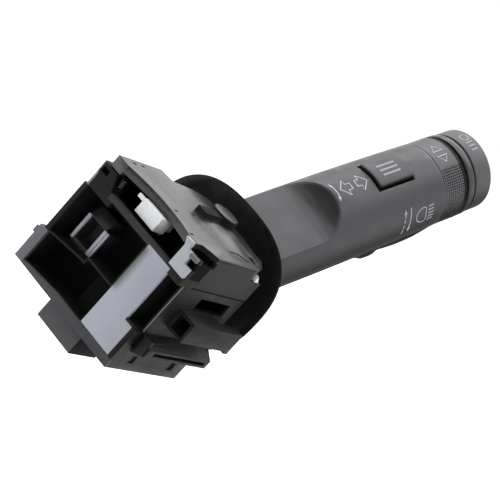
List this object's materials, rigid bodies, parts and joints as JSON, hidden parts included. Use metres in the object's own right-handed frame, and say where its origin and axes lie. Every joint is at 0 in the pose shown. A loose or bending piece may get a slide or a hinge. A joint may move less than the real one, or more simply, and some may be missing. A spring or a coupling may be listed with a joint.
{
  "type": "combination stalk switch",
  "caption": "Left-hand steering-column stalk switch: tilted lever with scroll ring, push button and end button, oval shield disc and a boxed switch case with bracket slots and connector.",
  "frame": {"origin": "on the case's back seating face, in the lever's own plane, at the middle height of the cross rail", "axes": "+X from the lever towards the steering column (out of the back face), +Y up in the car, +Z towards the driver"},
  "size_m": [0.1582, 0.0612, 0.1154],
  "materials": {
    "black_plastic": "fine grained",
    "grip_plastic": "soft satin",
    "gloss_black": "gloss",
    "pale_plastic": "satin",
    "white_plastic": "satin",
    "natural_plastic": "satin",
    "grey_plastic": "satin",
    "inner_plastic": "matt",
    "board": "solder mask",
    "brass": "tinned",
    "steel": "bright",
    "rubber": "matt"
  },
  "bodies": {
    "housing": {"switch_housing": "black_plastic", "top_cover": "black_plastic", "seat_plate": "pale_plastic", "post_pad": "pale_plastic", "rear_socket": "grey_plastic", "socket_bars": "pale_plastic", "connector_shroud": "black_plastic", "terminal_row_1": "brass", "terminal_row_2": "brass", "contact_board": "board", "beam_board": "board", "board_screws": "steel", "detent_track": "natural_plastic", "pawl_pin": "steel", "pawl_spring": "steel"},
    "turn_carrier": {"turn_yoke": "inner_plastic", "beam_pin": "steel"},
    "lever": {"lever_arm": "inner_plastic", "plunger_spring": "steel", "shield_disc": "grip_plastic", "handle_shell": "grip_plastic", "handle_cover": "grip_plastic", "handle_screws": "steel", "lever_board": "board", "button_dome": "rubber", "dial_core": "inner_plastic", "collar_ring": "gloss_black", "end_spring": "steel"},
    "detent": {"detent_plunger": "natural_plastic"},
    "turn_contact": {"turn_slider": "natural_plastic", "turn_wiper": "brass"},
    "beam_contact": {"beam_slider": "natural_plastic", "beam_wiper": "brass"},
    "pawl": {"cancel_pawl": "white_plastic"},
    "button": {"menu_button": "grip_plastic"},
    "dial": {"scroll_ring": "grip_plastic"},
    "cap": {"end_cap": "grip_plastic"}
  },
  "joints": [
    {"name": "turn_pivot", "type": "hinge", "parent": "housing", "child": "turn_carrier", "pos_m": [-0.0394, 0, -0.01515], "axis": [0, 0, 1], "range_deg": [-8, 8]},
    {"name": "beam_pivot", "type": "hinge", "parent": "turn_carrier", "child": "lever", "pos_m": [-0.0394, 0, -0.01515], "axis": [0, 1, 0], "range_deg": [-5, 6]},
    {"name": "detent_press", "type": "slide", "parent": "lever", "child": "detent", "axis": [-1, 0, 0], "range_m": [0, 0.0015], "stiffness_N_per_m": 400, "springref_m": -0.002, "deforming": ["plunger_spring"]},
    {"name": "turn_contact_slide", "type": "slide", "parent": "housing", "child": "turn_contact", "axis": [0, 1, 0], "range_m": [-0.0021, 0.0021]},
    {"name": "beam_contact_slide", "type": "slide", "parent": "turn_carrier", "child": "beam_contact", "axis": [0, 0, 1], "range_m": [-0.00135, 0.00115]},
    {"name": "pawl_swing", "type": "hinge", "parent": "housing", "child": "pawl", "pos_m": [-0.0135, 0, 0.0046], "axis": [0, 0, 1], "range_deg": [-12, 12], "stiffness_Nm_per_rad": 0.02},
    {"name": "button_press", "type": "slide", "parent": "lever", "child": "button", "axis": [-0.5592, 0, -0.829], "range_m": [0, 0.001], "stiffness_N_per_m": 400, "springref_m": -0.002},
    {"name": "dial_turn", "type": "hinge", "parent": "lever", "child": "dial", "pos_m": [-0.13539, 0, 0.0496], "axis": [-0.829, 0, 0.5592], "range_deg": [-15, 15], "stiffness_Nm_per_rad": 0.02},
    {"name": "cap_press", "type": "slide", "parent": "lever", "child": "cap", "axis": [0.829, 0, -0.5592], "range_m": [0, 0.001], "stiffness_N_per_m": 400, "springref_m": -0.002, "deforming": ["end_spring"]}
  ],
  "couplings": [
    {"joint": "turn_contact_slide", "follows": "turn_pivot", "m_per_rad": 0.0144},
    {"joint": "beam_contact_slide", "follows": "beam_pivot", "m_per_rad": -0.0124}
  ]
}
